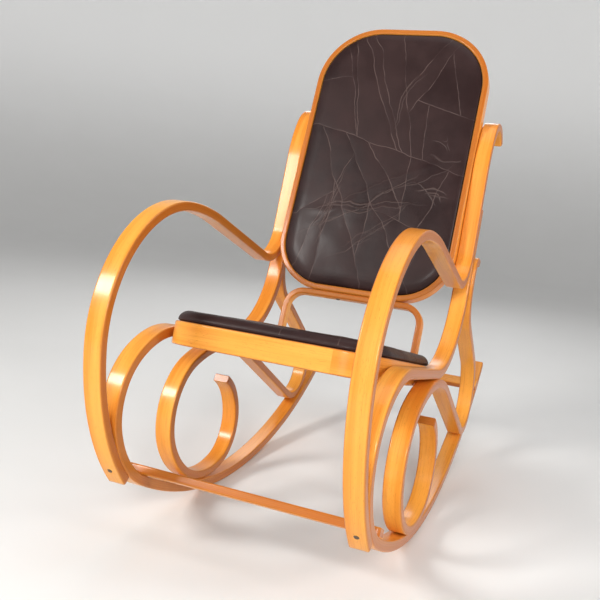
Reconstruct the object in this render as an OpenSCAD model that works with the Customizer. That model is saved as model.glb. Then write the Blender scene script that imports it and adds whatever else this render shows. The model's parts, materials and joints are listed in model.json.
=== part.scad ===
// Bentwood rocking chair. Each side is three long strips bent and bolted face to face.
// A seat, a back ring, a loop and two crossbars join the two sides.
// Lengths are mm, angles are degrees. X runs across the chair, Y to the rear, Z up.
// A bend is written [radius, turn]; turn 0 makes a straight run of that length.
// A positive turn is to the left when walking along the strip with X pointing away.

/* [Side frames] */
// Width over the outer faces of the arm and rocker strips
chair_width = 496; // [440:2:560]
// Width of every bent strip, across the chair
strip_width = 36; // [28:1:44]
// Thickness of the arm strips
arm_thickness = 18; // [14:1:22]
// Thickness of the rocker strips
rocker_thickness = 20; // [14:1:24]
// Thickness of the scroll strips
scroll_thickness = 18; // [14:1:22]
// Forward lean that brings the chair to its resting attitude on the rockers
rest_lean = 14.49; // [6:0.01:20]

/* [Rocker strip, from its rear end] */
// Rear end of the strip's middle line: Y, Z
rocker_start = [758, -452]; // [-600:1:800]
// Direction of the strip at its rear end, from +Y toward +Z
rocker_heading = 205; // [190:0.5:220]
// Rear half of the rocker
rocker_rear = [955, -35.5]; // [-80:0.5:1200]
// Front half of the rocker
rocker_front = [845, -33.5]; // [-80:0.5:1200]
// Turn up at the front of the rocker
rocker_toe = [183, -46.5]; // [-80:0.5:400]
// Tight top of the front bow
rocker_bow = [121, -74]; // [-90:0.5:400]
// Hump beside the seat
rocker_hump = [189, -42]; // [-80:0.5:400]
// Straight slope under the seat
rocker_slope = [250, 0]; // [0:1:400]
// First half of the dip behind the seat
rocker_dip = [206, 36]; // [0:0.5:400]
// Second half of the dip, up to the post
rocker_rise = [198, 51]; // [0:0.5:400]
// Straight run up behind the post
rocker_tail = [195, 0]; // [60:1:300]

/* [Arm strip, down from the post] */
// Where the straight post starts, measured back from the end of the rocker strip
post_start = 55; // [20:1:120]
// Straight run of the post below that point
arm_post_low = [51, 0]; // [10:1:120]
// Dip where the armrest meets the post
arm_dip = [87, -95.5]; // [-120:0.5:200]
// Straight slope of the armrest
arm_slope = [253, 0]; // [100:1:400]
// First gentle bend of the armrest
arm_rest = [503, 14]; // [0:0.5:800]
// Top of the arm
arm_top = [240, 59]; // [0:0.5:400]
// Front of the arm
arm_bow = [235, 37]; // [0:0.5:400]
// Lower front of the arm, down to its foot
arm_shin = [399, 40.5]; // [0:0.5:600]
// Straight run of the post above its start
arm_post_high = [133, 0]; // [60:1:240]
// Slow bend of the post to the rear
arm_neck = [238, -23.5]; // [-60:0.5:400]
// Curl at the top of the post
arm_curl = [72, -112]; // [-180:0.5:200]

/* [Scroll strip, from its tip] */
// Tip of the strip's middle line: Y, Z
scroll_start = [105, -270]; // [-600:1:400]
// Direction of the strip at its tip
scroll_heading = -44.5; // [-60:0.5:0]
// Distance that a scroll strip stands outward from the strips it is joined to
scroll_offset = 6; // [0:1:12]
// Upper rear of the spiral, beside its tip
scroll_high_rear = [129, -50.4]; // [-120:0.5:200]
// Lower rear of the spiral
scroll_low_rear = [94, -27.1]; // [-120:0.5:200]
// Bottom of the spiral
scroll_bottom = [87, -57]; // [-120:0.5:200]
// Lower front of the spiral
scroll_low_front = [191, -76]; // [-120:0.5:300]
// Upper front of the spiral
scroll_high_front = [118, -28]; // [-120:0.5:200]
// Hump of the spiral
scroll_hump = [119, -74]; // [-120:0.5:200]
// Slow bend under the seat
scroll_shoulder = [321, -48.5]; // [-80:0.5:400]
// Straight slope down to the rocker
scroll_slope = [317, 0]; // [200:1:400]
// Turn on top of the rocker
scroll_heel = [78, 121.5]; // [0:0.5:180]
// Slow turn above the heel
scroll_calf = [128, 52.5]; // [0:0.5:200]
// Straight rise to the post
scroll_rise = [175, 0]; // [100:1:300]
// Bend that meets the back of the post
scroll_knee = [108, -68.5]; // [-120:0.5:200]
// Straight run bolted to the post
scroll_tail = [25, 0]; // [10:1:80]
// Small curl at the end
scroll_curl = [26, -120]; // [-180:0.5:100]

/* [Seat] */
// Front top edge of the seat frame: Y, Z
seat_front = [-160, -5]; // [-300:1:100]
// Slope of the seat down to the rear, before the forward lean
seat_slope = 28; // [15:0.5:40]
// Depth of the seat frame along its slope
seat_depth = 457; // [400:1:500]
// Height of the seat frame
seat_height = 44; // [30:1:60]
// Thickness of the seat frame
seat_wall = 18; // [12:1:26]
// Radius of the seat frame's front corners
seat_front_radius = 85; // [30:1:140]
// Radius of the seat frame's rear corners
seat_rear_radius = 40; // [20:1:100]
// Thickness of the seat board
seat_board_thickness = 8; // [5:1:14]
// Depth of the seat board below the top of the frame
seat_board_drop = 8; // [6:1:30]
// Height of the seat pad's crown above the frame
seat_crown = 24; // [10:1:40]

/* [Back] */
// Middle of the back ring's front face: Y, Z
back_middle = [516, 167]; // [-100:1:700]
// Recline of the back from upright, before the forward lean
back_recline = 35; // [20:0.5:45]
// Height of the back ring along its recline
back_height = 678; // [560:1:760]
// Width of the back ring's wood, seen from the front
back_wall = 13; // [9:0.5:22]
// Depth of the back ring from front to rear
back_depth = 35; // [20:1:50]
// Radius of the ring's upper corners
back_top_radius = 148; // [80:1:190]
// Radius of the ring's lower corners
back_bottom_radius = 122; // [80:1:190]
// Thickness of the back board
back_board_thickness = 6; // [4:1:10]
// Depth of the back board's rear face behind the ring's front face
back_board_set = 15; // [10:1:30]
// Height of the back pad's crown in front of the ring
back_crown = 9; // [2:1:25]
// Thickness of the leather
leather_thickness = 2; // [1:0.5:4]

/* [Loop and crossbars] */
// Outside width of the lower loop
loop_width = 338; // [260:2:400]
// Thickness of the loop's strip
loop_wall = 14; // [10:1:20]
// Depth of the loop's strip from front to rear
loop_depth = 24; // [14:1:34]
// Length of the loop's legs below the back ring
loop_leg = 180; // [120:1:220]
// Radius of the loop's corners
loop_radius = 48; // [30:1:80]
// Distance of the front crossbar from the rocker's rear end, along the strip
front_bar_reach = 1086; // [1000:2:1400]
// Distance of the rear crossbar from the rocker's rear end, along the strip
rear_bar_reach = 95; // [24:1:160]
// Width of a crossbar along the strip
bar_width = 30; // [24:1:60]
// Thickness of a crossbar
bar_thickness = 16; // [12:1:24]

/* [Hardware] */
// Radius of the bolts' and screws' shanks
bolt_radius = 3; // [2:0.5:5]
// Radius of the bolts' and screws' heads
bolt_head_radius = 5; // [4:0.5:10]
// Height of the bolt heads and nuts
bolt_head_height = 3; // [2:0.5:6]
// Clearance round a shank
bolt_clearance = 0.2; // [0.1:0.05:0.5]
// Distance of the arm foot's bolt from the rocker's rear end, along the strip
foot_bolt_reach = 1172; // [1120:1:1220]
// Radius of the dowels
dowel_radius = 4; // [3:0.5:6]
// Depth of a dowel in each of the two pieces that it joins
dowel_grip = 11; // [8:1:15]
// Distances of the post screws below the top end of the rocker strip
post_screw_spots = [25, 80]; // [10:1:120]
// Distances of the scroll's dowels from its tip: rocker, hump, heel, post
scroll_dowel_reach = [332, 871, 1374, 1896]; // [200:1:2000]
// Distances of the seat screws from the rocker's rear end, along the strip
seat_screw_reach = [1562, 1740]; // [1500:1:1800]
// Distances of the back screws above the start of the post
back_screw_spots = [10, 122]; // [0:1:180]

/* [Colours] */
// Colour of the varnished wood
wood_colour = "#e8a04c";
// Colour of the leather
leather_colour = "#43302e";
// Colour of the bolts and screws
steel_colour = "#8a8580";
// Colour of the bottom cloth
cloth_colour = "#26221f";
// Colour of the foam inside the pads
foam_colour = "#d8c7a0";

/* [Hidden] */
$fn = 32;

// Fixed details of the joints and pads.
head_sink = 1.5;
screw_grip = 14;
bar_dowel_step = 9;
loop_set = 4;
loop_screw_side = 40;
loop_screw_rise = 14;
cushion_lip = 4;
crown_step = 22;
cloth_thickness = 1.5;
half_rocker = rocker_thickness / 2;
half_scroll = scroll_thickness / 2;

// Largest turn between two points of a bent strip, and their largest spacing.
arc_step = 4;
arc_chord = 24;
inner_half = chair_width / 2 - strip_width;
strip_middle = inner_half + strip_width / 2;

// A place on a strip is [Y, Z, heading].
function heading_step(p, distance) =
    [p[0] + distance * cos(p[2]), p[1] + distance * sin(p[2]), p[2]];
function side_step(p, distance) =
    [p[0] - distance * sin(p[2]), p[1] + distance * cos(p[2]), p[2]];
function turn_round(p) = [p[0], p[1], p[2] + 180];

// The place reached from p after turning by a on a circle of radius r.
function on_arc(p, r, a) =
    let(s = sign(a))
    [p[0] + s * r * (sin(p[2] + a) - sin(p[2])),
     p[1] - s * r * (cos(p[2] + a) - cos(p[2])),
     p[2] + a];
function bend_end(p, bend) =
    bend[1] == 0 ? heading_step(p, bend[0]) : on_arc(p, bend[0], bend[1]);
function bend_length(bend) =
    bend[1] == 0 ? bend[0] : bend[0] * abs(bend[1]) * PI / 180;
function bend_parts(bend) =
    bend[1] == 0 ? 1
    : max(ceil(abs(bend[1]) / arc_step), ceil(bend_length(bend) / arc_chord));
function bend_places(p, bend) =
    [for (i = [1 : bend_parts(bend)]) bend_end(p, bend[1] == 0
        ? [bend[0] * i / bend_parts(bend), 0]
        : [bend[0], bend[1] * i / bend_parts(bend)])];

// Every place along a list of bends, from p.
function walk(p, bends, k = 0) =
    k == len(bends) ? [p]
    : concat([p], [for (q = bend_places(p, bends[k])) if (q != bend_end(p, bends[k])) q],
             walk(bend_end(p, bends[k]), bends, k + 1));
function reversed(places) =
    [for (i = [len(places) - 1 : -1 : 0]) turn_round(places[i])];
// The place at a distance along a list of bends.
function place_at(p, bends, distance, k = 0) =
    distance <= bend_length(bends[k]) || k == len(bends) - 1
    ? bend_end(p, bends[k][1] == 0 ? [distance, 0]
               : [bends[k][0], bends[k][1] * distance / bend_length(bends[k])])
    : place_at(bend_end(p, bends[k]), bends, distance - bend_length(bends[k]), k + 1);
function length_of(bends, k = 0) =
    k == len(bends) ? 0 : bend_length(bends[k]) + length_of(bends, k + 1);

// The three strips of a side.
rocker_bends = [rocker_rear, rocker_front, rocker_toe, rocker_bow, rocker_hump,
                rocker_slope, rocker_dip, rocker_rise, rocker_tail];
rocker_origin = [rocker_start[0], rocker_start[1], rocker_heading];
rocker_places = walk(rocker_origin, rocker_bends);
rocker_end = place_at(rocker_origin, rocker_bends, length_of(rocker_bends));

arm_post = side_step(heading_step(rocker_end, -post_start),
                     (arm_thickness + rocker_thickness) / 2);
arm_down = [arm_post_low, arm_dip, arm_slope, arm_rest, arm_top, arm_bow, arm_shin];
arm_up = [arm_post_high, arm_neck, arm_curl];
arm_places = concat(reversed(walk(turn_round(arm_post), arm_down)),
                    [for (q = walk(arm_post, arm_up)) if (q != arm_post) q]);

scroll_bends = [scroll_high_rear, scroll_low_rear, scroll_bottom, scroll_low_front, scroll_high_front,
                scroll_hump, scroll_shoulder, scroll_slope, scroll_heel, scroll_calf,
                scroll_rise, scroll_knee, scroll_tail, scroll_curl];
scroll_origin = [scroll_start[0], scroll_start[1], scroll_heading];
scroll_places = walk(scroll_origin, scroll_bends);

// The two edges of a strip as one closed outline.
function strip_outline(places, thickness) =
    concat([for (q = places) [side_step(q, thickness / 2)[0], side_step(q, thickness / 2)[1]]],
           [for (i = [len(places) - 1 : -1 : 0])
               [side_step(places[i], -thickness / 2)[0],
                side_step(places[i], -thickness / 2)[1]]]);

// Resting attitude: lean about X, then move so that the base centre is the origin.
function leaned(q) = [q[0] * cos(rest_lean) - q[1] * sin(rest_lean),
                      q[0] * sin(rest_lean) + q[1] * cos(rest_lean)];
rocker_outline = strip_outline(rocker_places, rocker_thickness);
arm_outline = strip_outline(arm_places, arm_thickness);
scroll_outline = strip_outline(scroll_places, scroll_thickness);
side_points = [for (q = concat(rocker_outline, arm_outline)) leaned(q)];
front_most = min([for (q = side_points) q[0]]);
rear_most = max([for (q = side_points) q[0]]);
lowest = min([for (q = side_points) q[1]]);

module rest() {
    translate([0, -(front_most + rear_most) / 2, -lowest])
        rotate([rest_lean, 0, 0])
            children();
}

// Local frame on a strip: Y along the strip, Z out of its left face.
module at_place(p, x = 0) {
    translate([x, p[0], p[1]])
        rotate([p[2], 0, 0])
            children();
}

module both_sides() {
    for (side = [-1, 1])
        translate([side * strip_middle, 0, 0])
            children();
}

// A profile in Y and Z, pulled across one strip's width.
module across_strip() {
    translate([-strip_width / 2, 0, 0])
        rotate([90, 0, 90])
            linear_extrude(strip_width)
                children();
}

// Rounded plate in X and Y with separate corner radii at each end.
module rounded_plate(half_width, low, high, low_radius, high_radius) {
    for (side = [-1, 1]) {
        translate([side * (half_width - low_radius), low + low_radius])
            circle(low_radius);
        translate([side * (half_width - high_radius), high - high_radius])
            circle(high_radius);
    }
    translate([-half_width, low + low_radius])
        square([2 * half_width, high - high_radius - low - low_radius]);
    translate([-(half_width - low_radius), low])
        square([2 * (half_width - low_radius), high - high_radius - low]);
    translate([-(half_width - high_radius), low + low_radius])
        square([2 * (half_width - high_radius), high - low - low_radius]);
}

// A bolt along Z: its shank from start to finish, with a domed head on the finish.
module bolt(start, finish) {
    translate([0, 0, start])
        cylinder(h = finish - start, r = bolt_radius);
    translate([0, 0, finish])
        cylinder(h = bolt_head_height * 0.6, r = bolt_head_radius);
    translate([0, 0, finish + bolt_head_height * 0.6])
        cylinder(h = bolt_head_height * 0.4, r1 = bolt_head_radius, r2 = bolt_head_radius * 0.7);
}

// The room a bolt needs in the wood, with its head sunk.
module bolt_room(start, finish) {
    translate([0, 0, start])
        cylinder(h = finish - start + 1, r = bolt_radius + bolt_clearance);
    translate([0, 0, finish])
        cylinder(h = 12, r = bolt_head_radius + bolt_clearance);
}

module bolt_or_room(start, finish, room) {
    if (room)
        bolt_room(start, finish);
    else
        bolt(start, finish);
}

// A dowel along Z, half of it on each side of the joint's face.
module dowel(room = false) {
    spare = room ? bolt_clearance : 0;
    translate([0, 0, -dowel_grip - spare])
        cylinder(h = 2 * (dowel_grip + spare), r = dowel_radius + spare);
}

// Places of the joints. The arm foot's bolt stands on the rocker strip.
foot_bolt_place = place_at(rocker_origin, rocker_bends, foot_bolt_reach);
post_screw_places = [for (d = post_screw_spots) heading_step(rocker_end, -d)];
scroll_dowel_places = [for (d = scroll_dowel_reach) place_at(scroll_origin, scroll_bends, d)];
seat_screw_places = [for (d = seat_screw_reach) place_at(rocker_origin, rocker_bends, d)];
back_screw_places = [for (d = back_screw_spots) heading_step(arm_post, d)];
front_bar_place = place_at(rocker_origin, rocker_bends, front_bar_reach);
rear_bar_place = place_at(rocker_origin, rocker_bends, rear_bar_reach);

module arm_foot_bolt(room = false) {
    at_place(foot_bolt_place)
        bolt_or_room(-half_rocker - bolt_head_height - 1,
                     half_rocker + arm_thickness - 2 * head_sink, room);
}

// The post's screws go in from the rear, through the rocker strip into the arm strip.
module post_screw_set(room = false) {
    for (p = post_screw_places)
        at_place(p)
            rotate([180, 0, 0])
                bolt_or_room(-half_rocker - screw_grip, half_rocker - head_sink, room);
}

// The scroll's dowels stand on the face that touches. Only at the heel is that the right face.
// side_shift is the dowels' distance outward from the middle of the strip they are cut from.
module scroll_dowel_set(side_shift, room = false) {
    for (k = [0 : len(scroll_dowel_places) - 1])
        at_place(side_step(scroll_dowel_places[k], (k == 2 ? -1 : 1) * half_scroll), side_shift)
            dowel(room);
}

// Screws from the inside of a frame into a strip's inner face. wall is the frame's wall.
// Built for the side at positive X.
module inner_screw(p, wall, room = false) {
    translate([-strip_width / 2, p[0], p[1]])
        rotate([0, -90, 0])
            bolt_or_room(-screw_grip, wall - bolt_head_height - bolt_clearance, room);
}

module seat_screw_set(room = false) {
    for (p = seat_screw_places)
        inner_screw(p, seat_wall, room);
}

module back_screw_set(room = false) {
    for (p = back_screw_places)
        inner_screw(p, back_wall, room);
}

// The crossbars' dowels stand on the rocker strip's inner face.
module bar_dowel_set(room = false) {
    for (p = [front_bar_place, rear_bar_place])
        for (step = [-bar_dowel_step, bar_dowel_step])
            at_place(side_step(p, -half_rocker), step)
                dowel(room);
}

// The same set on both sides, mirrored.
module mirrored_sides() {
    translate([strip_middle, 0, 0])
        children();
    mirror([1, 0, 0])
        translate([strip_middle, 0, 0])
            children();
}

// Strips. Each is built at the side at positive X and placed by its sign.
module place_strip(side, outward = 0) {
    rest()
        mirror([side < 0 ? 1 : 0, 0, 0])
            translate([strip_middle + outward, 0, 0])
                children();
}

module rocker_strip(side) {
    color(wood_colour)
        place_strip(side)
            difference() {
                across_strip()
                    polygon(rocker_outline);
                arm_foot_bolt(true);
                post_screw_set(true);
                scroll_dowel_set(scroll_offset / 2, true);
                seat_screw_set(true);
                bar_dowel_set(true);
            }
}

module arm_strip(side) {
    color(wood_colour)
        place_strip(side)
            difference() {
                across_strip()
                    difference() {
                        polygon(arm_outline);
                        polygon(rocker_outline);
                    }
                arm_foot_bolt(true);
                post_screw_set(true);
                back_screw_set(true);
            }
}

module scroll_strip(side) {
    color(wood_colour)
        place_strip(side, scroll_offset)
            difference() {
                across_strip()
                    difference() {
                        polygon(scroll_outline);
                        polygon(rocker_outline);
                    }
                scroll_dowel_set(-scroll_offset / 2, true);
            }
}

module left_arm_strip() arm_strip(-1);
module right_arm_strip() arm_strip(1);
module left_rocker_strip() rocker_strip(-1);
module right_rocker_strip() rocker_strip(1);
module left_scroll_strip() scroll_strip(-1);
module right_scroll_strip() scroll_strip(1);

// Seat, in a frame with Y along its slope and Z out of its top.
module on_seat() {
    translate([0, seat_front[0], seat_front[1]])
        rotate([-seat_slope, 0, 0])
            children();
}

module seat_plan(inset) {
    rounded_plate(inner_half - inset, inset, seat_depth - inset,
                  seat_front_radius - inset, seat_rear_radius - inset);
}

module seat_frame() {
    color(wood_colour)
        rest()
            difference() {
                on_seat()
                    translate([0, 0, -seat_height])
                        linear_extrude(seat_height)
                            difference() {
                                seat_plan(0);
                                seat_plan(seat_wall);
                            }
                mirrored_sides()
                    seat_screw_set(true);
                loop_leg_screws(true);
            }
}

module seat_board() {
    color(wood_colour)
        rest()
            on_seat()
                translate([0, 0, -seat_board_drop - seat_board_thickness])
                    linear_extrude(seat_board_thickness)
                        seat_plan(seat_wall);
}

// The pad's outside, or its inside when skin is the leather's thickness. A plug inside
// the frame, a wider layer over the frame's top and a smaller crown.
module seat_pad(skin) {
    shoulder = seat_crown * 0.7;
    translate([0, 0, -seat_board_drop])
        linear_extrude(seat_board_drop)
            seat_plan(seat_wall + skin);
    linear_extrude(shoulder - skin)
        seat_plan(cushion_lip + skin);
    translate([0, 0, shoulder - skin])
        linear_extrude(seat_crown - shoulder)
            seat_plan(cushion_lip + crown_step + skin);
}

module seat_foam() {
    color(foam_colour)
        rest()
            on_seat()
                seat_pad(leather_thickness);
}

module seat_leather() {
    color(leather_colour)
        rest()
            on_seat()
                difference() {
                    seat_pad(0);
                    seat_pad(leather_thickness);
                }
}

module seat_bottom_cloth() {
    color(cloth_colour)
        rest()
            on_seat()
                translate([0, 0, -seat_height])
                    linear_extrude(cloth_thickness)
                        seat_plan(seat_wall);
}

// Back, in a frame with Z up the recline and Y to the rear, on the ring's front face.
module on_back() {
    translate([0, back_middle[0], back_middle[1]])
        rotate([-back_recline, 0, 0])
            children();
}

module upright(front, depth) {
    translate([0, front + depth, 0])
        rotate([90, 0, 0])
            linear_extrude(depth)
                children();
}

module back_plan(inset) {
    rounded_plate(inner_half - inset, -back_height / 2 + inset, back_height / 2 - inset,
                  back_bottom_radius - inset, back_top_radius - inset);
}

module back_frame() {
    color(wood_colour)
        rest()
            difference() {
                on_back()
                    upright(0, back_depth)
                        difference() {
                            back_plan(0);
                            back_plan(back_wall);
                        }
                mirrored_sides()
                    back_screw_set(true);
                on_back()
                    loop_top_screws(true);
            }
}

module back_board() {
    color(wood_colour)
        rest()
            on_back()
                upright(back_board_set - back_board_thickness, back_board_thickness)
                    back_plan(back_wall);
}

// The back pad: a plug inside the ring and two smaller crowns in front of it.
module back_pad(skin) {
    plug = back_board_set - back_board_thickness;
    low = back_crown * 0.6;
    upright(skin, plug - skin)
        back_plan(back_wall + skin);
    upright(skin - low, low)
        back_plan(back_wall + crown_step / 2 + skin);
    upright(skin - back_crown, back_crown - low)
        back_plan(back_wall + 2 * crown_step + skin);
}

module back_foam() {
    color(foam_colour)
        rest()
            on_back()
                back_pad(leather_thickness);
}

module back_leather() {
    color(leather_colour)
        rest()
            on_back()
                difference() {
                    back_pad(0);
                    back_pad(leather_thickness);
                }
}

module back_rear_leather() {
    color(leather_colour)
        rest()
            on_back()
                upright(back_board_set, leather_thickness)
                    back_plan(back_wall);
}

// Lower loop: an arch under the ring whose legs reach down behind the seat frame.
loop_top = -back_height / 2;
loop_bottom = loop_top - loop_leg;

module arch(half_width, low, high, radius) {
    for (side = [-1, 1])
        translate([side * (half_width - radius), high - radius])
            circle(radius);
    translate([-half_width, low])
        square([2 * half_width, high - radius - low]);
    translate([-(half_width - radius), low])
        square([2 * (half_width - radius), high - low]);
}

module loop_top_screws(room = false) {
    for (side = [-1, 1])
        translate([side * loop_screw_side, loop_set + loop_depth / 2, loop_top])
            rotate([180, 0, 0])
                if (room)
                    bolt_room(-back_wall + 3, loop_wall - head_sink);
                else
                    bolt(-back_wall + 3, loop_wall - head_sink);
}

module loop_leg_screws(room = false) {
    on_back()
        for (side = [-1, 1])
            translate([side * (loop_width - loop_wall) / 2, loop_set + loop_depth,
                       loop_bottom + loop_screw_rise])
                rotate([-90, 0, 0])
                    if (room)
                        bolt_room(-loop_depth - screw_grip, -head_sink);
                    else
                        bolt(-loop_depth - screw_grip, -head_sink);
}

module lower_loop() {
    color(wood_colour)
        rest()
            difference() {
                on_back()
                    upright(loop_set, loop_depth)
                        difference() {
                            arch(loop_width / 2, loop_bottom, loop_top, loop_radius);
                            arch(loop_width / 2 - loop_wall, loop_bottom - 1,
                                 loop_top - loop_wall, loop_radius - loop_wall);
                        }
                on_back()
                    loop_top_screws(true);
                loop_leg_screws(true);
            }
}

// A crossbar lies on the rocker strips' inner faces and is shaped to them underneath.
module crossbar(p) {
    color(wood_colour)
        rest()
            difference() {
                rotate([90, 0, 90])
                    translate([0, 0, -chair_width / 2])
                        linear_extrude(chair_width)
                            difference() {
                                translate([p[0], p[1]])
                                    rotate(p[2])
                                        translate([-bar_width / 2, -half_rocker - bar_thickness])
                                            square([bar_width, bar_thickness]);
                                polygon(rocker_outline);
                            }
                both_sides()
                    bar_dowel_set(true);
            }
}

module front_crossbar() crossbar(front_bar_place);
module rear_crossbar() crossbar(rear_bar_place);

module steel() {
    color(steel_colour)
        rest()
            children();
}

module arm_foot_bolts() steel() both_sides() arm_foot_bolt();
module post_screws() steel() both_sides() post_screw_set();
module seat_side_screws() steel() mirrored_sides() seat_screw_set();
module back_side_screws() steel() mirrored_sides() back_screw_set();

module loop_screws() {
    steel() {
        on_back()
            loop_top_screws();
        loop_leg_screws();
    }
}

// Hexagonal nuts under the rocker strips, on the arm feet's bolts.
module foot_bolt_nuts() {
    steel()
        both_sides()
            at_place(foot_bolt_place)
                translate([0, 0, -half_rocker - bolt_head_height])
                    difference() {
                        cylinder(h = bolt_head_height, r = bolt_head_radius, $fn = 6);
                        translate([0, 0, -1])
                            cylinder(h = bolt_head_height + 2, r = bolt_radius);
                    }
}

module dowel_wood() {
    color(wood_colour)
        rest()
            children();
}

module scroll_dowels() dowel_wood() mirrored_sides() scroll_dowel_set(scroll_offset / 2);
module crossbar_dowels() dowel_wood() both_sides() bar_dowel_set();

left_arm_strip();
right_arm_strip();
left_rocker_strip();
right_rocker_strip();
left_scroll_strip();
right_scroll_strip();
seat_frame();
seat_board();
seat_foam();
seat_leather();
seat_bottom_cloth();
back_frame();
back_board();
back_foam();
back_leather();
back_rear_leather();
lower_loop();
front_crossbar();
rear_crossbar();
arm_foot_bolts();
foot_bolt_nuts();
post_screws();
seat_side_screws();
back_side_screws();
loop_screws();
scroll_dowels();
crossbar_dowels();
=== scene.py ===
"""Bentwood rocking chair: looks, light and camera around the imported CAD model.

Every bent wooden piece is swept again with rounded edges and a fibre direction, and
the leather pads are crowned and seamed. Lengths here are metres unless a name or
comment says millimetres; the bends repeat the CAD source's numbers, in millimetres.
"""

import json
import math
import random

import bpy
import numpy as np
from mathutils import Matrix, Vector, noise


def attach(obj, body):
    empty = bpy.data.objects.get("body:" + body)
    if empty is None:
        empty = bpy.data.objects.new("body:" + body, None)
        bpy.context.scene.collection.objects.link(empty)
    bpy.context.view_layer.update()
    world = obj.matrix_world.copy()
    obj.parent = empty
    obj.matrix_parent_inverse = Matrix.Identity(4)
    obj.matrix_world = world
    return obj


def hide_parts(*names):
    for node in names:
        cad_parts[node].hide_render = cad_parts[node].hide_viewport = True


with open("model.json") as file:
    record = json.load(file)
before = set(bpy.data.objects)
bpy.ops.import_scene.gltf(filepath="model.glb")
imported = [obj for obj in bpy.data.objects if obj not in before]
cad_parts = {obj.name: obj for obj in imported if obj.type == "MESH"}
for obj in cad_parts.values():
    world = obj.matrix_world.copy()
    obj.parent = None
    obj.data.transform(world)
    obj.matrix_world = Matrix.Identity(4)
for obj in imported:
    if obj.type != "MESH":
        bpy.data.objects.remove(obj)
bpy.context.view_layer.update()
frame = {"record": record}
scene = bpy.context.scene
MM = 0.001

# ---------------------------------------------------------------- sizes, as in the CAD
CHAIR_WIDTH = 496
STRIP_WIDTH = 36
ARM_THICKNESS = 18
ROCKER_THICKNESS = 20
SCROLL_THICKNESS = 18
REST_LEAN = 14.49
INNER_HALF = CHAIR_WIDTH / 2 - STRIP_WIDTH
STRIP_MIDDLE = INNER_HALF + STRIP_WIDTH / 2

# A place on a strip is (y, z, heading). A bend is (radius, turn); turn 0 is a straight run.
ROCKER_START = (758, -452, 205)
ROCKER_BENDS = [
    (955, -35.5), (845, -33.5), (183, -46.5), (121, -74), (189, -42),
    (250, 0), (206, 36), (198, 51), (195, 0),
]
POST_START = 55
ARM_DOWN = [(51, 0), (87, -95.5), (253, 0), (503, 14), (240, 59), (235, 37), (399, 40.5)]
ARM_UP = [(133, 0), (238, -23.5), (72, -112)]
SCROLL_START = (105, -270, -44.5)
SCROLL_OFFSET = 6
SCROLL_BENDS = [
    (129, -50.4), (94, -27.1), (87, -57), (191, -76), (118, -28), (119, -74),
    (321, -48.5), (317, 0), (78, 121.5), (128, 52.5), (175, 0), (108, -68.5), (25, 0), (26, -120),
]

SEAT_FRONT = (-160, -5)
SEAT_SLOPE = 28
SEAT_DEPTH = 457
SEAT_HEIGHT = 44
SEAT_WALL = 18
SEAT_FRONT_RADIUS = 85
SEAT_REAR_RADIUS = 40
CUSHION_LIP = 4

BACK_MIDDLE = (516, 167)
BACK_RECLINE = 35
BACK_HEIGHT = 678
BACK_WALL = 13
BACK_DEPTH = 35
BACK_TOP_RADIUS = 148
BACK_BOTTOM_RADIUS = 122
BACK_BOARD_SET = 15

LOOP_WIDTH = 338
LOOP_WALL = 14
LOOP_DEPTH = 24
LOOP_LEG = 180
LOOP_RADIUS = 48
LOOP_SET = 4
FRONT_BAR_REACH = 1086
REAR_BAR_REACH = 95
BAR_WIDTH = 30
BAR_THICKNESS = 16

EDGE_ROUND = 3.2
PLIES = 5


# ---------------------------------------------------------------- paths of the strips
def step_on(place, bend, share=1.0):
    """The place reached after a share of a bend."""
    y, z, heading = place
    radius, turn = bend
    h = math.radians(heading)
    if turn == 0:
        return (y + radius * share * math.cos(h), z + radius * share * math.sin(h), heading)
    side = math.copysign(1, turn)
    end = math.radians(heading + turn * share)
    return (
        y + side * radius * (math.sin(end) - math.sin(h)),
        z - side * radius * (math.cos(end) - math.cos(h)),
        heading + turn * share,
    )


def bend_length(bend):
    return bend[0] if bend[1] == 0 else bend[0] * math.radians(abs(bend[1]))


def walk(place, bends, spacing=6.0):
    """Every place along the bends, each with its distance from the start."""
    places, gone = [(*place, 0.0)], 0.0
    for bend in bends:
        length = bend_length(bend)
        count = max(2, math.ceil(length / spacing))
        for i in range(1, count + 1):
            places.append((*step_on(place, bend, i / count), gone + length * i / count))
        place = step_on(place, bend)
        gone += length
    return places


def place_at(place, bends, distance):
    for bend in bends:
        length = bend_length(bend)
        if distance <= length:
            return step_on(place, bend, distance / length)
        distance -= length
        place = step_on(place, bend)
    return place


def side_step(place, distance):
    h = math.radians(place[2])
    return (place[0] - distance * math.sin(h), place[1] + distance * math.cos(h), place[2])


def turned(place):
    return (place[0], place[1], place[2] + 180)


rocker_walk = walk(ROCKER_START, ROCKER_BENDS)
rocker_end = rocker_walk[-1][:3]
arm_post = side_step(
    step_on(rocker_end, (-POST_START, 0)), (ARM_THICKNESS + ROCKER_THICKNESS) / 2
)
down = walk(turned(arm_post), ARM_DOWN)
down_length = down[-1][3]
arm_walk = [(y, z, h + 180, down_length - d) for y, z, h, d in reversed(down)]
arm_walk += [(y, z, h, down_length + d) for y, z, h, d in walk(arm_post, ARM_UP)[1:]]
scroll_walk = walk(SCROLL_START, SCROLL_BENDS)


# ---------------------------------------------------------------- resting attitude
def leaned(y, z):
    c, s = math.cos(math.radians(REST_LEAN)), math.sin(math.radians(REST_LEAN))
    return y * c - z * s, y * s + z * c


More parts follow.
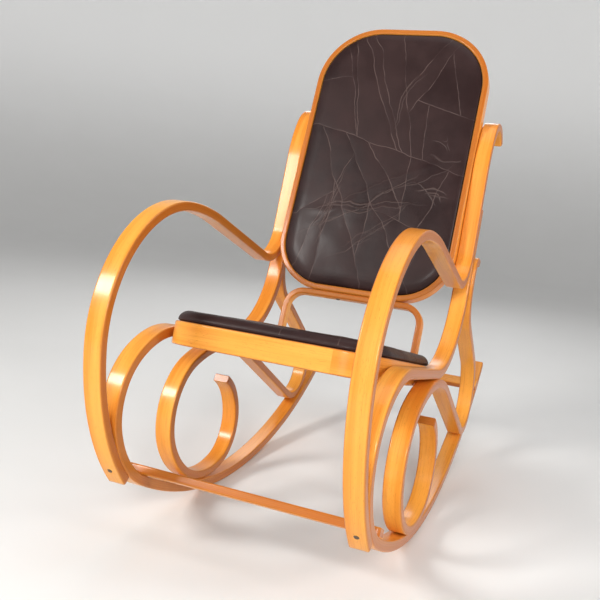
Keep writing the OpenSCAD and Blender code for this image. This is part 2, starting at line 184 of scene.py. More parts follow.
edges = [
    leaned(*side_step(place[:3], side * thick / 2)[:2])
    for path, thick in ((rocker_walk, ROCKER_THICKNESS), (arm_walk, ARM_THICKNESS))
    for place in path
    for side in (-1, 1)
]
rest = Matrix.Translation(
    (
        0,
        -(min(e[0] for e in edges) + max(e[0] for e in edges)) / 2 * MM,
        -min(e[1] for e in edges) * MM,
    )
) @ Matrix.Rotation(math.radians(REST_LEAN), 4, "X")
on_seat = (
    rest
    @ Matrix.Translation((0, SEAT_FRONT[0] * MM, SEAT_FRONT[1] * MM))
    @ Matrix.Rotation(math.radians(-SEAT_SLOPE), 4, "X")
)
on_back = (
    rest
    @ Matrix.Translation((0, BACK_MIDDLE[0] * MM, BACK_MIDDLE[1] * MM))
    @ Matrix.Rotation(math.radians(-BACK_RECLINE), 4, "X")
)


# ---------------------------------------------------------------- shader helpers
class Nodes:
    """Builds a material's node tree. A socket given as an input is linked."""

    def __init__(self, name):
        self.material = bpy.data.materials.new(name)
        self.material.use_nodes = True
        self.tree = self.material.node_tree
        self.tree.nodes.clear()

    def add(self, kind, inputs=None, **settings):
        node = self.tree.nodes.new(kind)
        for key, value in settings.items():
            setattr(node, key, value)
        for key, value in (inputs or {}).items():
            if isinstance(value, bpy.types.NodeSocket):
                self.tree.links.new(value, node.inputs[key])
            else:
                node.inputs[key].default_value = value
        return node

    def attribute(self, name):
        return self.add("ShaderNodeAttribute", attribute_name=name)

    def math(self, operation, *values):
        node = self.add("ShaderNodeMath", operation=operation)
        for i, value in enumerate(values):
            if isinstance(value, bpy.types.NodeSocket):
                self.tree.links.new(value, node.inputs[i])
            else:
                node.inputs[i].default_value = value
        return node.outputs[0]

    def scaled(self, vector, scale):
        node = self.add("ShaderNodeVectorMath", operation="MULTIPLY")
        self.tree.links.new(vector, node.inputs[0])
        node.inputs[1].default_value = scale
        return node.outputs[0]

    def noise(self, vector, detail=3.0, rough=0.55):
        node = self.add(
            "ShaderNodeTexNoise",
            {"Vector": vector, "Scale": 1.0, "Detail": detail, "Roughness": rough},
        )
        return node.outputs["Fac"]

    def span(self, value, low, high, new_low=0.0, new_high=1.0):
        node = self.add(
            "ShaderNodeMapRange",
            {
                "Value": value, "From Min": low, "From Max": high,
                "To Min": new_low, "To Max": new_high,
            },
            interpolation_type="SMOOTHSTEP",
        )
        return node.outputs["Result"]

    def mix(self, share, first, second):
        node = self.add("ShaderNodeMix", data_type="RGBA", blend_type="MIX")
        for index, value in ((0, share), (6, first), (7, second)):
            if isinstance(value, bpy.types.NodeSocket):
                self.tree.links.new(value, node.inputs[index])
            elif index:
                node.inputs[index].default_value = (*value, 1.0)
            else:
                node.inputs[index].default_value = value
        return node.outputs[2]

    def bump(self, height, distance, strength=1.0, normal=None):
        inputs = {"Height": height, "Distance": distance, "Strength": strength}
        if normal is not None:
            inputs["Normal"] = normal
        return self.add("ShaderNodeBump", inputs).outputs["Normal"]

    def finish(self, **inputs):
        sockets = {k.replace("_", " "): v for k, v in inputs.items()}
        shader = self.add("ShaderNodeBsdfPrincipled", sockets)
        output = self.add("ShaderNodeOutputMaterial")
        self.tree.links.new(shader.outputs[0], output.inputs[0])
        return self.material


def wood_material(name, pale, middle, dark):
    """Varnished beech, bent from plies. grain holds along, across and ply number; the faces marked
    edge are darkened with painted shade.
    """
    n = Nodes(name)
    grain = n.attribute("grain").outputs["Vector"]
    edge = n.attribute("edge").outputs["Fac"]
    ply = n.add("ShaderNodeSeparateXYZ", {"Vector": grain}).outputs["Z"]
    broad = n.noise(n.scaled(grain, (1.7, 9.0, 0.22)), 2.0)
    bands = n.noise(n.scaled(grain, (2.6, 62.0, 0.5)), 3.0)
    fibres = n.noise(n.scaled(grain, (9.0, 420.0, 2.4)), 3.0, 0.6)
    flecks = n.noise(n.scaled(grain, (130.0, 900.0, 5.0)), 1.0)
    tone = n.math("ADD", n.math("MULTIPLY", broad, 0.5), n.math("MULTIPLY", bands, 0.5))
    colour = n.mix(n.span(tone, 0.36, 0.64), middle, pale)
    colour = n.mix(n.span(fibres, 0.5, 0.78, 0.0, 0.34), colour, dark)
    colour = n.mix(n.span(flecks, 0.64, 0.76, 0.0, 0.38), colour, dark)
    near = n.math("ABSOLUTE", n.math("SUBTRACT", n.math("FRACT", n.math("ADD", ply, 0.5)), 0.5))
    glue = n.span(near, 0.02, 0.11, 1.0, 0.0)
    colour = n.mix(n.math("MULTIPLY", glue, 0.42), colour, dark)
    # Painted shade: the narrow side faces (edge) are darkened towards DARK, standing in for the
    # shade they fall in; the end caps are darkened the same way.
    colour = n.mix(n.math("MULTIPLY", edge, 0.7), colour, dark)
    height = n.math("ADD", n.math("MULTIPLY", fibres, 0.4), n.math("MULTIPLY", glue, -0.5))
    rough = n.span(bands, 0.3, 0.7, 0.30, 0.42)
    normal = n.bump(height, 0.0004, 0.35)
    return n.finish(
        Base_Color=colour, Roughness=rough, Normal=normal, Coat_Weight=0.42,
        Coat_Roughness=0.17, Specular_IOR_Level=0.14,
    )


def leather_material(name, scale=1.0):
    """Dark brown glazed leather in stitched patches. panel is a place on the flat hide."""
    n = Nodes(name)
    panel = n.attribute("panel").outputs["Vector"]
    seam = n.math("ABSOLUTE", n.attribute("seam").outputs["Fac"])
    beside = n.math("ABSOLUTE", n.attribute("crease_off").outputs["Fac"])
    patch = n.attribute("patch").outputs["Fac"]
    cloud = n.noise(n.scaled(panel, (14, 14, 14)), 4.0)
    colour = n.mix(n.span(cloud, 0.35, 0.7), (0.0165, 0.0065, 0.0066), (0.029, 0.0128, 0.0125))
    colour = n.mix(n.math("MULTIPLY", patch, 0.45), colour, (0.041, 0.0205, 0.0195))
    pebble = n.add(
        "ShaderNodeTexVoronoi",
        {"Vector": panel, "Scale": 620.0 * scale, "Randomness": 1.0},
        feature="DISTANCE_TO_EDGE",
    ).outputs["Distance"]
    crease = n.math(
        "MULTIPLY", n.attribute("crease").outputs["Fac"], n.span(beside, 0.0002, 0.0022, 1.0, 0.0)
    )
    streaks = n.noise(n.scaled(panel, (40, 700, 1)), 2.0)
    # Painted highlight: along the creases the colour is lighter, as if their ridges catch the
    # light.
    colour = n.mix(n.math("MULTIPLY", crease, 0.45), colour, (0.140, 0.098, 0.088))
    # Painted highlight: the seams are coloured lighter, in patches broken up by noise, as if their
    # ridges catch the light.
    seam_highlight_breakup = n.span(n.noise(n.scaled(panel, (22, 22, 22)), 3.0), 0.34, 0.6, 0.12, 1.0)
    seam_highlight = n.math("MULTIPLY", n.span(seam, 0.0003, 0.0016, 1.0, 0.0), seam_highlight_breakup)
    colour = n.mix(n.math("MULTIPLY", seam_highlight, 0.5), colour, (0.140, 0.094, 0.085))
    groove = n.span(seam, 0.0, 0.0014, 1.0, 0.0)
    height = n.math("ADD", n.math("MULTIPLY", n.span(pebble, 0.0, 0.25), 0.4),
                    n.math("MULTIPLY", groove, -1.2))
    height = n.math("ADD", height, n.math("MULTIPLY", streaks, 0.5))
    normal = n.bump(height, 0.00022, 0.6)
    normal = n.bump(crease, 0.0008, 0.7, normal)
    normal = n.bump(cloud, 0.003, 0.3, normal)
    rough = n.math(
        "ADD", n.span(cloud, 0.3, 0.7, 0.34, 0.46), n.math("MULTIPLY", patch, 0.08)
    )
    return n.finish(
        Base_Color=colour, Roughness=rough, Normal=normal, Coat_Weight=0.08,
        Coat_Roughness=0.2, Specular_IOR_Level=0.16,
    )


def plain_texture(name, first, second, scale, rough, metal=0.0, height=0.0003, stretch=(1, 1, 1)):
    """A two-tone surface with a little relief, for steel, ply and cloth."""
    n = Nodes(name)
    where = n.add("ShaderNodeTexCoord").outputs["Object"]
    grainy = n.noise(n.scaled(where, tuple(scale * s for s in stretch)), 4.0)
    colour = n.mix(n.span(grainy, 0.3, 0.7), first, second)
    spread = n.span(grainy, 0.25, 0.75, rough - 0.08, rough + 0.1)
    return n.finish(
        Base_Color=colour, Roughness=spread, Metallic=metal,
        Normal=n.bump(grainy, height, 0.5),
    )


def woven_material(name):
    """Black spun lining cloth with a fine square weave."""
    n = Nodes(name)
    panel = n.attribute("panel").outputs["Vector"]
    across = n.add("ShaderNodeSeparateXYZ", {"Vector": n.scaled(panel, (4200, 4200, 1))})
    weave = n.math(
        "MULTIPLY", n.math("SINE", across.outputs["X"]), n.math("SINE", across.outputs["Y"])
    )
    cloud = n.noise(n.scaled(panel, (30, 30, 30)), 3.0)
    colour = n.mix(n.span(cloud, 0.3, 0.7), (0.012, 0.011, 0.010), (0.028, 0.026, 0.024))
    colour = n.mix(n.span(weave, 0.2, 1.0, 0.0, 0.4), colour, (0.055, 0.052, 0.05))
    return n.finish(
        Base_Color=colour, Roughness=0.92, Normal=n.bump(weave, 0.0002, 0.6),
        Sheen_Weight=0.2,
    )


PALE = (0.88, 0.385, 0.062)
MIDDLE = (0.74, 0.245, 0.026)
DARK = (0.33, 0.068, 0.007)
wood = wood_material("varnished_beech", PALE, MIDDLE, DARK)
leather = leather_material("glazed_leather")
lining = woven_material("lining_cloth")
plywood = plain_texture(
    "plywood", (0.50, 0.30, 0.13), (0.66, 0.43, 0.21), 60.0, 0.62, stretch=(1.0, 0.12, 1.0)
)
steel = plain_texture("bronzed_steel", (0.10, 0.065, 0.04), (0.22, 0.16, 0.11), 900.0, 0.38, 0.9)


# ---------------------------------------------------------------- mesh helpers
def signed_volume(points, faces):
    total = 0.0
    for face in faces:
        a = points[face[0]]
        for i in range(1, len(face) - 1):
            total += a.dot(points[face[i]].cross(points[face[i + 1]]))
    return total


def make_piece(name, points, faces, layers, material, nodes, flat=()):
    """A mesh object. layers holds one value per face corner, in the faces' order."""
    if signed_volume(points, faces) < 0:
        faces = [face[::-1] for face in faces]
        layers = {key: [values[::-1] for values in rows] for key, rows in layers.items()}
    mesh = bpy.data.meshes.new(name)
    mesh.from_pydata([tuple(p) for p in points], [], faces)
    for key, rows in layers.items():
        values = np.array([value for row in rows for value in row], dtype=np.float32)
        kind = "FLOAT_VECTOR" if values.ndim == 2 else "FLOAT"
        layer = mesh.attributes.new(key, kind, "CORNER")
        layer.data.foreach_set("vector" if values.ndim == 2 else "value", values.ravel())
    smooth = np.ones(len(faces), dtype=bool)
    smooth[list(flat)] = False
    mesh.polygons.foreach_set("use_smooth", smooth)
    mesh.materials.append(material)
    piece = bpy.data.objects.new(name, mesh)
    scene.collection.objects.link(piece)
    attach(piece, "root")
    if nodes:
        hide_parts(*nodes)
    return piece


def rounded_section(half_across, half_through, radius):
    """Points (across, through) round a rounded rectangle, with lines beside each corner."""
    support = 0.7
    section = []
    for sx, sy in ((1, 1), (-1, 1), (-1, -1), (1, -1)):
        cx, cy = sx * (half_across - radius), sy * (half_through - radius)
        corner = [
            (cx + sx * radius * math.cos(t), cy + sy * radius * math.sin(t))
            for t in (math.radians(a) for a in (0, 22.5, 45, 67.5, 90))
        ]
        first, last = corner[0], corner[-1]
        corner = [(first[0], cy - sy * support)] + corner + [(cx - sx * support, last[1])]
        section += corner if sx * sy > 0 else corner[::-1]
    return section


def sweep(
    name, rings, half_across, half_through, nodes, closed=False, start=0.0, radius=EDGE_ROUND
):
    """Sweep a rounded section. A ring is (point, through, across, distance), in metres."""
    radius = min(radius, half_through * 0.45)
    section = rounded_section(half_across, half_through, radius)
    ply = 2 * half_through / PLIES
    size = len(section)
    points, marks = [], []

    def add_ring(ring, shrink=0.0):
        point, through, across, distance = ring
        for a, t in section:
            a2 = a * (1 - shrink / half_across)
            t2 = t * (1 - shrink / half_through)
            points.append(point + across * (a2 * MM) + through * (t2 * MM))
            # edge is 1 on the narrow side faces, which the wood shader darkens as painted shade.
            share = (abs(a) - (half_across - radius)) / radius
            marks.append(((distance + start, a * MM, t / ply), min(1.0, max(0.0, share))))

    if not closed:
        chamfer = 1.4
        first, last = rings[0], rings[-1]
        along = (rings[1][0] - first[0]).normalized()
        behind = (last[0] - rings[-2][0]).normalized()
        add_ring(first, chamfer)
        add_ring((first[0] + along * chamfer * MM, *first[1:]))
        for ring in rings[1:-1]:
            add_ring(ring)
        add_ring((last[0] - behind * chamfer * MM, *last[1:]))
        add_ring(last, chamfer)
    else:
        for ring in rings[:-1]:
            add_ring(ring)
    count = len(points) // size
    faces, grain, edge = [], [], []
    span = rings[-1][3] - rings[0][3]
    for i in range(count if closed else count - 1):
        j = (i + 1) % count
        for k in range(size):
            m = (k + 1) % size
            face = (i * size + k, i * size + m, j * size + m, j * size + k)
            row = [marks[v][0] for v in face]
            if j < i:
                row = row[:2] + [(g[0] + span, g[1], g[2]) for g in row[2:]]
            faces.append(face)
            grain.append(row)
            edge.append([marks[v][1] for v in face])
    flat = []
    if not closed:
        for base in (0, (count - 1) * size):
            face = tuple(range(base, base + size))
            flat.append(len(faces))
            faces.append(face)
            grain.append([marks[v][0] for v in face])
            # The end caps take the same darkening as the side faces.
            edge.append([1.0] * size)
    layers = {"grain": grain, "edge": edge}
    return make_piece(name, points, faces, layers, wood, nodes, flat)


def strip_rings(places, side, outward=0.0):
    """Rings of a side strip, in the chair's resting attitude."""
    turn = rest.to_3x3()
    rings = []
    for y, z, heading, distance in places:
        h = math.radians(heading)
        point = rest @ Vector((side * (STRIP_MIDDLE + outward) * MM, y * MM, z * MM))
        through = turn @ Vector((0, -math.sin(h), math.cos(h)))
        rings.append((point, through, Vector((1, 0, 0)), distance * MM))
    return rings


def plate_path(half, low, high, low_radius, high_radius, spacing=5.0):
    """Closed path round a rounded plate as (x, y, nx, ny), counter-clockwise."""
    corners = (
        (half - low_radius, low + low_radius, low_radius, -90),
        (half - high_radius, high - high_radius, high_radius, 0),
        (-half + high_radius, high - high_radius, high_radius, 90),
        (-half + low_radius, low + low_radius, low_radius, 180),
    )
    knots = []
    for cx, cy, radius, first in corners:
        count = max(6, math.ceil(radius * math.pi / 2 / spacing))
        for i in range(count + 1):
            a = math.radians(first + 90 * i / count)
            out_x, out_y = math.cos(a), math.sin(a)
            knots.append((cx + radius * out_x, cy + radius * out_y, out_x, out_y))
    path = []
    for a, b in zip(knots, knots[1:] + knots[:1]):
        gap = math.hypot(b[0] - a[0], b[1] - a[1])
        count = max(1, round(gap / 14)) if gap > 2 * spacing else 1
        for i in range(count):
            s = i / count
            path.append(tuple(a[k] * (1 - s) + b[k] * s for k in range(4)))
    middle = next(i for i, p in enumerate(path) if p[1] <= low + 1 and p[0] > -half + low_radius)
    path = path[middle:] + path[:middle]
    return path + path[:1]


def ring_rings(frame_matrix, path, plane):
    """Rings of a closed frame. plane maps the flat path to the frame's own axes."""
    turn = frame_matrix.to_3x3()
    rings, gone, last = [], 0.0, None
    for x, y, nx, ny in path:
        if last is not None:
            gone += math.hypot(x - last[0], y - last[1])
        last = (x, y)
        point = frame_matrix @ (plane(x, y, 0) * MM)
        through = turn @ (plane(nx, ny, 0) - plane(0, 0, 0))
        across = turn @ (plane(0, 0, 1) - plane(0, 0, 0))
        rings.append((point, through.normalized(), across.normalized(), gone * MM))
    return rings


# ---------------------------------------------------------------- the bent wood
for side, word in ((-1, "left"), (1, "right")):
    for kind, places, thickness, outward, start in (
        ("arm", arm_walk, ARM_THICKNESS, 0, 3.1),
        ("rocker", rocker_walk, ROCKER_THICKNESS, 0, 11.7),
        ("scroll", scroll_walk, SCROLL_THICKNESS, SCROLL_OFFSET, 23.3),
    ):
        sweep(
            f"{word}_{kind}_bent", strip_rings(places, side, outward), STRIP_WIDTH / 2,
            thickness / 2, [f"{word}_{kind}_strip"], start=start + side * 1.9,
        )

seat_mid = SEAT_WALL / 2
seat_path = plate_path(
    INNER_HALF - seat_mid, seat_mid, SEAT_DEPTH - seat_mid,
    SEAT_FRONT_RADIUS - seat_mid, SEAT_REAR_RADIUS - seat_mid,
)
seat_rings = ring_rings(on_seat, seat_path, lambda x, y, z: Vector((x, y, z - SEAT_HEIGHT / 2)))
sweep("seat_frame_bent", seat_rings, SEAT_HEIGHT / 2, seat_mid, ["seat_frame"], True, 31.0)

back_mid = BACK_WALL / 2
back_path = plate_path(
    INNER_HALF - back_mid, -BACK_HEIGHT / 2 + back_mid, BACK_HEIGHT / 2 - back_mid,
    BACK_BOTTOM_RADIUS - back_mid, BACK_TOP_RADIUS - back_mid,
)
back_rings = ring_rings(on_back, back_path, lambda x, y, z: Vector((x, BACK_DEPTH / 2 + z, y)))
sweep("back_ring_bent", back_rings, BACK_DEPTH / 2, back_mid, ["back_frame"], True, 41.0)

loop_mid = LOOP_WALL / 2
loop_half = LOOP_WIDTH / 2 - loop_mid
loop_top = -BACK_HEIGHT / 2 - loop_mid
loop_foot = -BACK_HEIGHT / 2 - LOOP_LEG
loop_bend = LOOP_RADIUS - loop_mid
loop_walk = walk(
    (loop_half, loop_foot, 90),
    [(loop_top - loop_bend - loop_foot, 0), (loop_bend, 90), (2 * (loop_half - loop_bend), 0),
     (loop_bend, 90), (loop_top - loop_bend - loop_foot, 0)],
)
back_turn = on_back.to_3x3()
loop_rings = []
for x, z, heading, distance in loop_walk:
    h = math.radians(heading)
    loop_rings.append((
        on_back @ Vector((x * MM, (LOOP_SET + LOOP_DEPTH / 2) * MM, z * MM)),
        back_turn @ Vector((-math.sin(h), 0, math.cos(h))),
        back_turn @ Vector((0, 1, 0)),
        distance * MM,
    ))
sweep("lower_loop_bent", loop_rings, LOOP_DEPTH / 2, loop_mid, ["lower_loop"], start=51.0)

for word, reach, start in (("front", FRONT_BAR_REACH, 61.0), ("rear", REAR_BAR_REACH, 67.0)):
    y, z, heading = side_step(
        place_at(ROCKER_START, ROCKER_BENDS, reach), -(ROCKER_THICKNESS + BAR_THICKNESS) / 2
    )
    h = math.radians(heading)
    turn = rest.to_3x3()
    middle = rest @ Vector((0, y * MM, z * MM))
    through = turn @ Vector((0, -math.sin(h), math.cos(h)))
    across = turn @ Vector((0, math.cos(h), math.sin(h)))
    bar = [
        (middle + Vector((x * MM, 0, 0)), through, across, (x + CHAIR_WIDTH / 2) * MM)
        for x in np.linspace(-CHAIR_WIDTH / 2, CHAIR_WIDTH / 2, 49)
    ]
    sweep(f"{word}_crossbar_planed", bar, BAR_WIDTH / 2, BAR_THICKNESS / 2,
          [f"{word}_crossbar"], start=start)


# ---------------------------------------------------------------- pads
def plate_distance(x, y, half, low, high, low_radius, high_radius):
    """Signed distance from a rounded plate's outline, negative inside, by numpy."""
    middle, reach = (low + high) / 2, (high - low) / 2
    radius = np.where(y > middle, high_radius, low_radius)
    qx = np.abs(x) - half + radius
    qy = np.abs(y - middle) - reach + radius
    outside = np.hypot(np.maximum(qx, 0), np.maximum(qy, 0))
    return np.minimum(np.maximum(qx, qy), 0) + outside - radius


def fold_line(x, y, start, finish, bow, width, height):
    """A soft ridge along a slightly bowed line between two places."""
    ax, ay = start
    bx, by = finish
    length = math.hypot(bx - ax, by - ay)
    ux, uy = (bx - ax) / length, (by - ay) / length
    along = ((x - ax) * ux + (y - ay) * uy) / length
    off = -(x - ax) * uy + (y - ay) * ux - bow * 4 * along * (1 - along)
    ends = np.clip(along * 6, 0, 1) * np.clip((1 - along) * 6, 0, 1)
    return height * np.exp(-((off / width) ** 2)) * ends


def ripples(x, y, scale, seed):
    return np.array([noise.noise((a * scale, b * scale, seed)) for a, b in zip(x, y)])


def cut_polygon(polygon, point, angle):
    """Both halves of a convex polygon cut through a point, and the cut's two ends."""
    nx, ny = -math.sin(angle), math.cos(angle)
    halves, ends = ([], []), []
    for a, b in zip(polygon, polygon[1:] + polygon[:1]):
        da = (a[0] - point[0]) * nx + (a[1] - point[1]) * ny
        db = (b[0] - point[0]) * nx + (b[1] - point[1]) * ny
        halves[da < 0].append(a)
        if da * db < 0:
            cross = tuple(a[k] + (b[k] - a[k]) * da / (da - db) for k in (0, 1))
            halves[0].append(cross)
            halves[1].append(cross)
            ends.append(cross)
    return halves, ends


def polygon_area(polygon):
    pairs = zip(polygon, polygon[1:] + polygon[:1])
    return abs(sum(a[0] * b[1] - b[0] * a[1] for a, b in pairs)) / 2


def cut_patches(half, low, high, count, seed):
    """Patches of leather as if one hide were cut again and again by straight cuts."""
    rng = random.Random(seed)
    patches = [[(-half, low), (half, low), (half, high), (-half, high)]]
    seams = []
    while len(patches) < count:
        patches.sort(key=lambda p: polygon_area(p) * (1 + len(p) * 0.05))
        patch = patches.pop()
        middle = [sum(p[k] for p in patch) / len(patch) for k in (0, 1)]
        spread = math.sqrt(polygon_area(patch)) * 0.16
        point = [m + rng.uniform(-spread, spread) for m in middle]
        tall = rng.random() < 0.62
        angle = math.radians(rng.uniform(58, 128) if tall else rng.uniform(-24, 38))
        halves, ends = cut_polygon(patch, point, angle)
        patches += halves
        seams.append(ends)
    return patches, seams


def wander(x, y, reach, scale, seed):
    """Places moved about smoothly, so that straight lines across them look cut by hand."""
    fine = 0.25 * reach
    px = x + reach * ripples(x, y, scale, seed) + fine * ripples(x, y, 4 * scale, seed + 2.5)
    py = y + reach * ripples(x, y, scale, seed + 9.0) + fine * ripples(x, y, 4 * scale, seed + 5.5)
    return px, py


def line_offsets(x, y, lines):
    """Signed offset from each line, distance to it and place along it, for every point.

    A line is (start, finish, bow, strength).
    """
    offsets, gaps, shares = [], [], []
    for (ax, ay), (bx, by), bow, _ in lines:
        length = math.hypot(bx - ax, by - ay)
        ux, uy = (bx - ax) / length, (by - ay) / length
        share = ((x - ax) * ux + (y - ay) * uy) / length
        off = -(x - ax) * uy + (y - ay) * ux - bow * 4 * share * (1 - share)
        beyond = length * np.maximum(np.maximum(-share, share - 1), 0)
        offsets.append(off)
        gaps.append(np.hypot(off, beyond))
        shares.append(share)
    return np.array(offsets), np.array(gaps), np.array(shares)


def face_lines(x, y, cells, lines, fade):
    """For every face corner, the signed offset from the face's nearest line and its strength.

    Each face keeps to one line, so the line's edge stays sharp inside the face.
    """
    offsets, gaps, shares = line_offsets(x, y, lines)
    corners = np.array(cells)
    nearest = gaps[:, corners].mean(axis=2).argmin(axis=0)[:, None]
    strength = np.array([line[3] for line in lines])[nearest] * np.ones(corners.shape)
    share = shares[nearest, corners]
    if fade:
        strength *= np.clip(share * 5, 0, 1) * np.clip((1 - share) * 5, 0, 1)
    else:
        strength *= (share > -0.01) & (share < 1.01)
    return offsets[nearest, corners], strength


def seam_lines(half, low, high, count, seed):
    """The patches, and the seams between them as lines."""
    patches, seams = cut_patches(half, low, high, count, seed)
    return patches, [(a, b, 0.0, 1.0) for a, b in seams]


def patch_tones(px, py, patches, seed):
    """Each point's tone, which is its patch's own."""
    rng = random.Random(seed + 77)
    tone = np.zeros(len(px))
    for patch in patches:
        own = rng.random()
        inside = np.ones(len(px), dtype=bool)
        cx, cy = (sum(p[k] for p in patch) / len(patch) for k in (0, 1))
        for a, b in zip(patch, patch[1:] + patch[:1]):
            side = (b[0] - a[0]) * (py - a[1]) - (b[1] - a[1]) * (px - a[0])
            home = (b[0] - a[0]) * (cy - a[1]) - (b[1] - a[1]) * (cx - a[0])
            inside &= side * home >= 0
        tone[inside] = own
    return tone


def crease_lines(bundles, seed):
    """Fine creases in loose bundles. A bundle is (start, finish, lines, spread)."""
    rng = random.Random(seed)
    lines = []
    for start, finish, count, spread in bundles:
        for _ in range(count):
            a = [v + rng.uniform(-spread, spread) for v in start]
            b = [v + rng.uniform(-spread, spread) for v in finish]
            s, f = rng.uniform(-0.1, 0.55), rng.uniform(0.6, 1.1)
            a2 = [a[k] + (b[k] - a[k]) * s for k in (0, 1)]
            b2 = [a[k] + (b[k] - a[k]) * f for k in (0, 1)]
            lines.append((a2, b2, rng.uniform(-14, 14), rng.uniform(0.25, 1.0)))
    return lines


def make_pad(name, matrix, plane, outline, shape, nodes, material, seed, step=2.5):
    """A crowned closed pad on a rounded plate's outline.

    outline is (half, low, high, low_radius, high_radius). shape has the roll's radius and
    rise, the crown, the edge's height, the depth below it, how far the underside is drawn in,
    the number of patches and their puff, the bundles of creases, and a function for folds.
    """
    half, low, high, low_radius, high_radius = outline
    roll, rise = shape["roll"], shape["rise"]
    lean = math.radians(52)
    inset = roll * (1 - math.cos(lean))

    def away(x, y):
        return plate_distance(x, y, half, low, high, low_radius, high_radius)

    xs = np.arange(-half - step, half + 2 * step, step)
    ys = np.arange(low - step, high + 2 * step, step)
    gx, gy = np.meshgrid(xs, ys)
    x, y = gx.ravel(), gy.ravel()
    d = away(x, y) + inset
    kept = d < 0
    small = 0.05
    nx = (away(x + small, y) - away(x - small, y)) / (2 * small)
    ny = (away(x, y + small) - away(x, y - small)) / (2 * small)
    wide = len(xs)
    cells = [
        (r * wide + c, r * wide + c + 1, (r + 1) * wide + c + 1, (r + 1) * wide + c)
        for r in range(len(ys) - 1)
        for c in range(wide - 1)
    ]
    cells = [cell for cell in cells if any(kept[v] for v in cell)]
    snap = ~kept
    for _ in range(3):
        x = np.where(snap, x - (away(x, y) + inset) * nx, x)
        y = np.where(snap, y - (away(x, y) + inset) * ny, y)
    used = sorted({v for cell in cells for v in cell})
    index = {v: i for i, v in enumerate(used)}
    x, y = x[used], y[used]
    nx, ny = nx[used], ny[used]
    inside = np.maximum(-away(x, y), 0)
    cells = [tuple(index[v] for v in cell) for cell in cells]

    count = len(cells)
    if shape["puff"]:
        patches, seams = seam_lines(half, low, high, shape["patches"], seed)
        px, py = wander(x, y, 9, 0.013, seed)
        tone = patch_tones(px, py, patches, seed)
        seam = line_offsets(px, py, seams)[1].min(axis=0)
        seam_off, sewn = face_lines(px, py, cells, seams, False)
        seam_off = np.where(sewn > 0, seam_off, 1000.0)
        cx, cy = wander(x, y, 12, 0.016, seed + 31.0)
        crease_off, crease = face_lines(cx, cy, cells, crease_lines(shape["creases"], seed), True)
    else:
        seam, tone = np.full(len(x), 1000.0), np.full(len(x), 0.5)
        seam_off = crease_off = np.full((count, 4), 1000.0)
        crease = np.zeros((count, 4))
    reach = np.minimum(inside / roll, 1.0)
    height = shape["edge"] + rise * np.sqrt(np.maximum(1 - (1 - reach) ** 2, 0))
    longest = min(half, (high - low) / 2)
    middle = np.minimum(inside / longest, 1.0)
    height += shape["crown"] * (1 - (1 - middle) ** 2)
    height += shape["puff"] * (1 - np.exp(-seam / 7.0)) * np.minimum(inside / 20, 1)
    height += shape["folds"](x, y) * np.minimum(inside / 24, 1)

    points = [plane(a, b, c) for a, b, c in zip(x, y, height)]
    flat_place = [(a, b) for a, b in zip(x, y)]
    tones = list(tone)
    rim_seam = dict(zip(np.array(cells).ravel(), seam_off.ravel()))
    seams = [rim_seam.get(v, 1000.0) for v in range(len(x))]
    faces = list(cells)

    used_edges = {}
    for cell in cells:
        for a, b in zip(cell, cell[1:] + cell[:1]):
            used_edges[(a, b)] = used_edges.get((a, b), 0) + 1
    follow = {a: b for (a, b) in used_edges if (b, a) not in used_edges}
    start = next(iter(follow))
    rim = [start]
    while follow[rim[-1]] != start:
        rim.append(follow[rim[-1]])

    # The rolled side, from the top's rim round to the underside.
    ring = rim
    turns = [42, 32, 22, 11, 0]
    levels = [
        (roll * (1 - math.cos(math.radians(t))), rise * math.sin(math.radians(t)))
        for t in turns
    ]
    levels += [(shape["tuck"] * s, -shape["below"] * s) for s in (0.35, 0.75, 1.0)]
    top_inside, top_height = inset, rise * math.sin(lean)
    for level_inside, level_height in levels:
        new = []
        for v in rim:
            move = top_inside - level_inside
            a, b = x[v] + nx[v] * move, y[v] + ny[v] * move
            drop = top_height - level_height
            share_up = (level_height + shape["below"]) / (top_height + shape["below"])
            blend = max(0.0, min(1.0, share_up))
            extra = (height[v] - shape["edge"] - top_height) * blend
            points.append(plane(a, b, shape["edge"] + top_height - drop + extra))
            flat_place.append((a + nx[v] * drop, b + ny[v] * drop))
            seams.append(seams[v] if level_height > 0 else 1000.0)
            tones.append(tone[v])
            new.append(len(points) - 1)
        for i in range(len(ring)):
            j = (i + 1) % len(ring)
            faces.append((ring[j], ring[i], new[i], new[j]))
        ring = new
    cap = len(faces)
    faces.append(tuple(ring))
    world = [matrix @ (p * MM) for p in points]
    side_faces = faces[count:]
    layers = {
        "panel": [
            [(flat_place[v][0] * MM, flat_place[v][1] * MM, seed * 0.37) for v in f] for f in faces
        ],
        "patch": [[tones[v] for v in f] for f in faces],
        "seam": (seam_off * MM).tolist() + [[seams[v] * MM for v in f] for f in side_faces],
        "crease_off": (crease_off * MM).tolist() + [[1.0] * len(f) for f in side_faces],
        "crease": crease.tolist() + [[0.0] * len(f) for f in side_faces],
    }
    return make_piece(name, world, faces, layers, material, nodes, [cap])


# Bundles of fine creases: low across the back, up its right edge and over the seat.
BACK_CREASES = (
    ((-150, -200), (150, 0), 4, 16),
    ((-165, -140), (120, -105), 4, 16),
    ((-60, -250), (100, -120), 4, 18),
    ((-150, -250), (-70, -60), 4, 26),
    ((60, -60), (185, -110), 4, 26),
    ((120, 30), (190, 60), 4, 50),
    ((20, 60), (50, 230), 2, 26),
    ((-30, -220), (30, -180), 4, 22),
)
SEAT_CREASES = (
    ((-180, 30), (170, 60), 5, 22),
    ((-150, 120), (120, 240), 5, 60),
    ((-60, 60), (60, 380), 4, 70),
)


